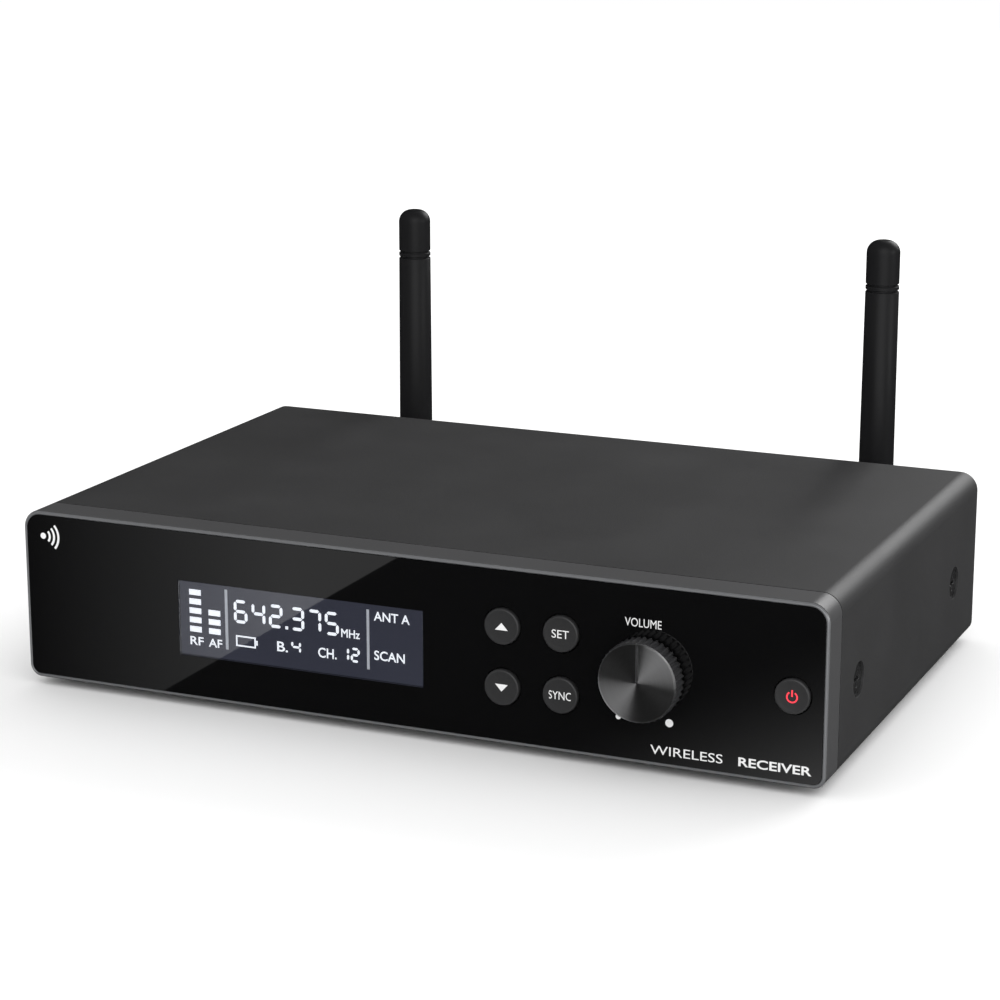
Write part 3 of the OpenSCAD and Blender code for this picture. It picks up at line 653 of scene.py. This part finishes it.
for key in BUTTONS:
    low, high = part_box("button_" + key)
    spot = middle("button_" + key)
    r = button_radius[key]
    deep = (high.y - low.y) / MM
    flange = deep - FLANGE_THICK
    profile = [(0, 0.14), (r - 1.5, 0.11), (r - 0.75, 0.05)]
    profile += fillet(r - EDGE_ROUND, EDGE_ROUND, EDGE_ROUND, -90, 0, 8)
    profile += [(r, flange), (r + BUTTON_FLANGE - 0.1, flange), (r + BUTTON_FLANGE, flange + 0.1),
                (r + BUTTON_FLANGE, deep), (0, deep)]
    bm = bmesh.new()
    lathe(bm, profile, (spot.x, low.y, spot.z), (0, 1, 0))
    body = body_of("button_" + key)
    cap = new_piece("v_button_" + key, bm, MATERIALS["button_grey"], body, 40)
    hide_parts("button_" + key)
    face = low.y + SIGN_DEPTH
    x, z = spot.x, spot.z
    if key in WORD_HALF_WIDTH:
        half = WORD_HALF_WIDTH[key]
        sign = lettering("v_sign_" + key, key.upper(), (x - half, z - WORD_HALF_HEIGHT),
                         (x + half, z + WORD_HALF_HEIGHT), face, INK_WITH_PAINTED_GLOW, body)
    else:
        bm = bmesh.new()
        y0, y1 = face - 0.03 * MM, face + INK_DEPTH
        if key == "power":
            band(bm, circle_points(x, z - 0.1 * MM, 1.15 * MM, 40, 122, 296), 0.34 * MM, y0, y1)
            prism(bm, rectangle(x - 0.18 * MM, z, x + 0.18 * MM, z + 1.5 * MM), y0, y1)
        else:
            way = 1 if key == "up" else -1
            foot = z - way * 0.8 * MM
            prism(bm, [(x - 1.55 * MM, foot), (x + 1.55 * MM, foot), (x, z + way * 0.9 * MM)], y0, y1)
        sign = new_piece("v_sign_" + key, bm, POWER_SIGN if key == "power" else INK_WITH_PAINTED_GLOW, body, 60)

# ---------------------------------------------------------------- volume knob

knob_low, knob_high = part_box("volume_knob")
knob_front = (knob.x, knob_low.y, knob.z)
knob_r = (knob_high.x - knob_low.x) / 2 / MM
knob_deep = (knob_high.y - knob_low.y) / MM
face_r = knob_r - 0.47
RIBS, RIB_DEPTH = 40, 0.42  # the depth in mm
POCKET_RADIUS, POCKET_FLOOR = 7.0, 2.9  # mm, the hollow in the knob's back, its floor counted from the front
GROOVE_HALF = 0.36 * MM
POINTER_START, POINTER_END = 0.3, face_r - 0.15  # mm from the knob's axis


def ribbed(radius, turn):
    """The grip: round ribs with narrow valleys between them."""
    if radius < knob_r - 0.3:
        return radius
    return radius - RIB_DEPTH * (0.5 - 0.5 * math.cos(RIBS * turn)) ** 1.2


def spun_metal():
    """Metal turned on a lathe: fine rings round the object's Y axis, and a gloss drawn out across them."""
    mat, tree, shader = blank_material("m_spun_face")
    place = add_node(tree, "TexCoord")
    flat = add_node(tree, "VectorMath", {1: (1, 0, 1)}, operation="MULTIPLY")
    link(tree, place, "Object", flat, 0)
    reach = add_node(tree, "VectorMath", operation="LENGTH")
    link(tree, flat, "Vector", reach, 0)
    rings = add_node(tree, "TexNoise", {"Scale": 5200.0, "Detail": 3.0})
    rings.noise_dimensions = "1D"
    link(tree, reach, "Value", rings, "W")
    tint = add_node(tree, "Mix", {"A": (0.3, 0.3, 0.305, 1), "B": (0.42, 0.42, 0.425, 1)}, data_type="RGBA")
    link(tree, rings, "Fac", tint, "Factor")
    link(tree, tint, "Result", shader, "Base Color")
    grooves = add_node(tree, "Bump", {"Strength": 0.06, "Distance": 0.02 * MM})
    link(tree, rings, "Fac", grooves, "Height")
    link(tree, grooves, "Normal", shader, "Normal")
    tangent = add_node(tree, "Tangent")
    tangent.direction_type = "RADIAL"
    tangent.axis = "Y"
    link(tree, tangent, "Tangent", shader, "Tangent")
    shader.inputs["Metallic"].default_value = 1.0
    shader.inputs["Roughness"].default_value = 0.36
    shader.inputs["Anisotropic"].default_value = 0.95
    shader.inputs["Anisotropic Rotation"].default_value = 0.25
    return mat


bm = bmesh.new()
lathe(bm, [(0, 0.8), (knob_r - 0.42, 0.8), (knob_r - 0.42, 0.34), (knob_r - 0.28, 0.3), (knob_r - 0.08, 0.36),
           (knob_r, 0.5), (knob_r, 2.0), (knob_r, 3.5), (knob_r, knob_deep - 0.25), (knob_r - 0.2, knob_deep),
           (POCKET_RADIUS, knob_deep), (POCKET_RADIUS, POCKET_FLOOR), (0, POCKET_FLOOR)],
      knob_front, (0, 1, 0), RIBS * 12, ribbed)
grip = new_piece("v_volume_knob", bm, MATERIALS["knob_black"], "knob", 40)
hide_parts("volume_knob")

bm = bmesh.new()
lathe(bm, [(knob_r - 0.46, 0.4), (knob_r - 0.46, 0.03), (knob_r - 0.42, 0.0), (knob_r - 0.36, 0.0),
           (knob_r - 0.2, 0.16), (knob_r - 0.2, 0.4), (knob_r - 0.46, 0.4)], knob_front, (0, 1, 0), 160)
bmesh.ops.remove_doubles(bm, verts=bm.verts, dist=1e-7)
rim = new_piece("v_knob_rim", bm, MATERIALS["knob_metal"], "knob", 25)

# The face is a disc with a straight pointer groove from the middle to the top. It is made about the
# origin and then moved, so that its rings and its gloss turn round its own axis.
spun_face = spun_metal()
bm = bmesh.new()
lathe(bm, [(0, 0.04), (face_r - 0.1, 0.04), (face_r, 0.1), (face_r, 0.78), (0, 0.78)], (0, 0, 0), (0, 1, 0), 160)
disc = new_piece("v_knob_cap", bm, spun_face, None, 30)
bm = bmesh.new()
prism(bm, rectangle(-GROOVE_HALF, 0, GROOVE_HALF, (face_r + 1) * MM), -0.5 * MM, 0.38 * MM)
cutter = new_piece("cutter", bm, spun_face, None)
cut = disc.modifiers.new("groove", "BOOLEAN")
cut.operation = "DIFFERENCE"
cut.solver = "EXACT"
cut.object = cutter
cut_mesh = evaluated_mesh(disc)
disc.modifiers.clear()
disc.data = cut_mesh
bpy.data.objects.remove(cutter)
cut_mesh.shade_smooth()
cut_mesh.set_sharp_from_angle(angle=math.radians(30))
disc.location = knob_front
bpy.context.view_layer.update()
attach(disc, "knob")
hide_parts("knob_cap")

# Two thin bright rails line the groove, a dark line between them.
bm = bmesh.new()
RAIL = [(0.14, 0.37), (0.14, 0.16), (0.22, 0.03), (0.25, 0.03), (0.34, 0.13), (0.34, 0.37)]
for way in (-1, 1):
    loft(bm, *([(knob.x + way * a * MM, knob_low.y + b * MM, knob.z + c * MM) for a, b in RAIL]
               for c in (POINTER_START, POINTER_END)))
rails = new_piece("v_knob_pointer", bm, MATERIALS["knob_metal"], "knob", 20)
bm = bmesh.new()
prism(bm, rectangle(knob.x - 0.14 * MM, knob.z + POINTER_START * MM,
                    knob.x + 0.14 * MM, knob.z + POINTER_END * MM),
      knob_low.y + 0.22 * MM, knob_low.y + 0.37 * MM)
new_piece("v_knob_line", bm, MATERIALS["knob_black"], "knob", 20)

# ---------------------------------------------------------------- printed marks on the front panel

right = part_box("front_frame")[1].x
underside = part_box("top_cover")[0].z
ink_span = (panel_face - INK_DEPTH, panel_face + INK_DEPTH)


def up(z):
    """A height in metres, z mm above the cover's lower edge."""
    return underside + z * MM


def painted_glow_ink(name, bm):
    """White print on the front panel, with a faint painted glow."""
    new_piece(name, bm, INK_WITH_PAINTED_GLOW, HOUSING, 60)


def ink_word(name, words, base, x0, x1, z0, z1, weight=0.0):
    """Words on the front panel, between two places in mm from base and between two heights in mm."""
    text = lettering(name, words, (base + x0 * MM, up(z0)), (base + x1 * MM, up(z1)), panel_face, INK_WITH_PAINTED_GLOW,
                     HOUSING, weight=weight)


ink_word("v_word_volume", "VOLUME", knob.x, -4.9, 3.6, 31.4, 33.35)
ink_word("v_word_type", "WIRELESS", right, -40.0, -23.3, 2.8, 4.9)
ink_word("v_word_unit", "RECEIVER", right, -19.7, -3.2, 2.8, 4.9, weight=0.02)
bm = bmesh.new()
prism(bm, circle_points(knob.x - 6.2 * MM, knob.z - 10.1 * MM, 0.62 * MM, 32), *ink_span)
prism(bm, circle_points(knob.x + 5.7 * MM, knob.z - 10.0 * MM, 0.92 * MM, 32), *ink_span)
painted_glow_ink("v_level_dots", bm)
bm = bmesh.new()
wave_x, wave_z = -right + 5.4 * MM, up(35.5)
prism(bm, circle_points(wave_x, wave_z, 0.75 * MM, 32), *ink_span)
for radius in (1.8, 3.0, 4.2):
    band(bm, circle_points(wave_x, wave_z, radius * MM, 24, -42, 84), 0.55 * MM, *ink_span)
painted_glow_ink("v_wave_mark", bm)

# ---------------------------------------------------------------- antennas

TONGUE_HALF, TONGUE_RADIUS = 2.0 * MM, 4.1 * MM  # the mast's end between the plug's two ears
SHOULDER = 3.3  # mm, rounding of the tip

for side in "ab":
    tip_low, tip_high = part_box("mast_tip_" + side)
    mast_low, mast_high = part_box("mast_" + side)
    pin = middle("hinge_pin_" + side)
    body = body_of("mast_" + side)
    foot_r = (mast_high.x - mast_low.x) / 2 / MM
    tip_r = (tip_high.x - tip_low.x) / 2 / MM
    foot = (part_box("plug_body_" + side)[1].y - pin.y) / MM + 0.4
    joint = (tip_low.z - pin.z) / MM
    peak = (tip_high.z - pin.z) / MM
    # The mast tapers up to a ring between two grooves, the tip standing in the upper one.
    profile = [(0, foot), (foot_r - 0.5, foot), (foot_r - 0.15, foot + 0.15), (foot_r, foot + 0.6),
               (tip_r + 0.02, joint - 2.25), (tip_r - 0.12, joint - 2.05), (tip_r - 0.55, joint - 2.0),
               (tip_r - 0.55, joint - 1.55), (tip_r - 0.1, joint - 1.5), (tip_r, joint - 1.38),
               (tip_r, joint - 0.68), (tip_r - 0.1, joint - 0.55), (tip_r - 0.55, joint - 0.5),
               (tip_r - 0.55, joint), (0, joint)]
    bm = bmesh.new()
    lathe(bm, profile, pin, (0, 0, 1))
    shoulder_z = (foot + 0.2) * MM
    shape = circle_points(0, 0, TONGUE_RADIUS, 24, 180, 180)
    shape += [(TONGUE_RADIUS, shoulder_z), (-TONGUE_RADIUS, shoulder_z)]
    loft(bm, *([(pin.x + x, pin.y + a, pin.z + b) for a, b in shape] for x in (-TONGUE_HALF, TONGUE_HALF)))
    mast = new_piece("v_mast_" + side, bm, MATERIALS["antenna_black"], body, 35)
    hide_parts("mast_" + side)

    profile = [(0, joint), (tip_r - 0.12, joint), (tip_r, joint + 0.14), (tip_r, peak - SHOULDER)]
    profile += fillet(tip_r - SHOULDER, peak - SHOULDER, SHOULDER, 0, 90, 14)[1:] + [(0, peak)]
    bm = bmesh.new()
    lathe(bm, profile, pin, (0, 0, 1))
    tip = new_piece("v_mast_tip_" + side, bm, MATERIALS["antenna_black"], body, 35)
    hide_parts("mast_tip_" + side)

# ---------------------------------------------------------------- rear labels

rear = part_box("rear_panel")[1].y


def rear_label(tag, words, x, half_width, z0, z1):
    """Grey words on the rear panel, centred on x, half as wide as half_width says in mm on each side."""
    text = lettering("v_rear_" + tag, words, (x - half_width * MM, z0), (x + half_width * MM, z1), rear,
                     REAR_INK, HOUSING, toward=1, weight=0.006)


for tag, words, node, half_width, rise in (("dc", "DC IN", "dc_pin", 4.0, 10.5),
                                           ("jack", "LINE OUT", "jack_nut", 7.0, -11.5)):
    spot = middle(node)
    z = spot.z + rise * MM
    rear_label(tag, words, spot.x, half_width, z - 1.0 * MM, z + 1.0 * MM)
for side in "ab":
    rear_label("antenna_" + side, "ANT " + side.upper(), middle("collar_" + side).x, 5, up(33.0), up(35.2))

# ---------------------------------------------------------------- camera

# Place and turn come from fitting a pinhole camera to the photograph, in mm from the middle of the front's foot.
camera = bpy.data.objects.new("camera", bpy.data.cameras.new("camera"))
bpy.context.scene.collection.objects.link(camera)
camera.location = Vector((0, front, underside)) + Vector((257.9, -536.0, 207.1)) * MM
camera.rotation_euler = (math.radians(90 - 14.44), 0, math.radians(23.57))
camera.data.sensor_width = 36
camera.data.lens = 99.04
camera.data.clip_start = 0.05
camera.data.clip_end = 60
bpy.context.scene.camera = camera

# ---------------------------------------------------------------- stage and light

CARD_AWAY = 0.75  # metres that the reflection cards stand in front of the origin
FLOOR_HALF = 14  # metres


def stage_plane(name, corners, mat):
    """A flat piece of the stage, which is no part of the object."""
    mesh = bpy.data.meshes.new(name)
    mesh.from_pydata([tuple(c) for c in corners], [], [tuple(range(len(corners)))])
    obj = bpy.data.objects.new(name, mesh)
    bpy.context.scene.collection.objects.link(obj)
    mesh.materials.append(mat)
    obj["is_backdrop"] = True
    return obj


def card_material(name, origin, way, bright, dim, curve):
    """A glow that falls from one point to another, way being the step between them."""
    mat, tree, glow = blank_material(name, "Emission", "Emission")
    place = add_node(tree, "TexCoord")
    shift = add_node(tree, "VectorMath", {1: origin}, operation="SUBTRACT")
    link(tree, place, "Object", shift, 0)
    along = add_node(tree, "VectorMath", {1: way / way.length_squared}, operation="DOT_PRODUCT")
    link(tree, shift, "Vector", along, 0)
    fade = add_node(tree, "MapRange", {"To Min": 1.0, "To Max": 0.0})
    link(tree, along, "Value", fade, "Value")
    curved = add_node(tree, "Math", {1: curve}, operation="POWER")
    link(tree, fade, "Result", curved, 0)
    scaled = add_node(tree, "Math", {1: bright - dim, 2: dim}, operation="MULTIPLY_ADD")
    link(tree, curved, "Value", scaled, 0)
    link(tree, scaled, "Value", glow, "Strength")
    return mat


def gloss_card(name, corners, mat):
    """A card that shows only where the object mirrors it."""
    card = stage_plane(name, corners, mat)
    card.visible_camera = False
    card.visible_diffuse = False
    card.visible_shadow = False


def mirrored(x, z):
    """The point of the cards' plane that the camera sees mirrored at a place of the front panel."""
    start = Vector((x, panel_face, z))
    ray = (start - camera.location).normalized()
    ray.y = -ray.y
    return start + ray * ((-CARD_AWAY - panel_face) / ray.y)


def reflector(name, outline, bright_point, dim_point, bright, dim, curve):
    """A card given by the (x, z) places of the panel in which its corners and the ends of its fade show."""
    origin = mirrored(*bright_point)
    way = mirrored(*dim_point) - origin
    gloss_card(name, [mirrored(x, z) for x, z in outline],
               card_material("m_" + name, origin, way, bright, dim, curve))


def softbox(name, where, aim, wide, high, power):
    """A square light of wide by high metres, turned to a point."""
    data = bpy.data.lights.new(name, "AREA")
    data.shape = "RECTANGLE"
    data.size, data.size_y, data.energy = wide, high, power
    obj = bpy.data.objects.new(name, data)
    obj.location = where
    obj.rotation_euler = (Vector(aim) - Vector(where)).to_track_quat("-Z", "Y").to_euler()
    bpy.context.scene.collection.objects.link(obj)


floor_mat = surface("m_floor", (0.98, 0.98, 0.98), 0.9, grain=30, bump=0.0, vary=0.004, specular=0.0)
floor_corners = [(x, z, 0) for x, z in rectangle(-FLOOR_HALF, -FLOOR_HALF, FLOOR_HALF, FLOOR_HALF)]
floor = stage_plane("floor", floor_corners, floor_mat)
floor.visible_glossy = False
floor.visible_transmission = False

# The first card's slanting edge shows as a line across the display, the second lights the lower right corner.
line_low, line_high = (left + 10.3 * MM, window_low.z), (left + 38.5 * MM, window_high.z)
slope = (line_high[0] - line_low[0]) / (line_high[1] - line_low[1])
card_top, card_foot = up(48), up(-30)
reflector("card_left", [(line_low[0] + slope * (card_foot - line_low[1]), card_foot),
                        (line_low[0] + slope * (card_top - line_low[1]), card_top),
                        (-2 * right, card_top), (-2 * right, card_foot)],
          (left + 29 * MM, middle("display_window").z), (-right, middle("display_window").z), 0.66, 0.03, 1.15)
corner_in, corner_out, corner_foot, corner_top = right - 80 * MM, right + 5 * MM, up(-8), up(46)
reflector("card_corner", [(corner_out, corner_foot), (corner_out, corner_top),
                          (corner_in, corner_top), (corner_in, corner_foot)],
          (right, up(0)), (right - 15.3 * MM, up(30.2)), 1.0, 0.025, 2.2)

# The third one stands high on the right, behind the camera, and draws the bright wedges on the turned knob.
wedge = [Vector((x, -CARD_AWAY, z)) for x, z in (
    (0.17, -0.2), (1.08, -0.38), (0.9, 0.9), (0.02, 0.97), (-0.09, 0.14))]
gloss_card("card_front", wedge, card_material("m_card_front", wedge[0], wedge[2] - wedge[0], 1.5, 1.2, 1.0))

softbox("key", (0.4, 1.3, 0.75), (0.03, 0, 0.03), 1.0, 0.7, 9.0)
softbox("front_right", (0.62, -0.85, 0.8), (0.03, -0.05, 0.02), 0.75, 0.45, 1.2)
softbox("right_fill", (1.3, 0.0, 0.3), (0, 0, 0.03), 0.6, 0.5, 2.2)

# The sky is white to the camera and for diffuse light, and nearly black in every mirror image.
world = bpy.data.worlds.new("world")
bpy.context.scene.world = world
world.use_nodes = True
tree = world.node_tree
tree.nodes.clear()
out = add_node(tree, "OutputWorld")
ray_kind = add_node(tree, "LightPath")
direct = add_node(tree, "Math", operation="MAXIMUM")
link(tree, ray_kind, "Is Camera Ray", direct, 0)
link(tree, ray_kind, "Is Diffuse Ray", direct, 1)
dim = add_node(tree, "Background", {"Color": (1, 1, 1, 1), "Strength": 0.025})
bright = add_node(tree, "Background", {"Color": (1, 1, 1, 1), "Strength": 1.02})
choose = add_node(tree, "MixShader")
link(tree, direct, "Value", choose, 0)
link(tree, dim, "Background", choose, 1)
link(tree, bright, "Background", choose, 2)
link(tree, choose, "Shader", out, "Surface")
bpy.context.scene.view_settings.view_transform = "Standard"

low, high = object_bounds()
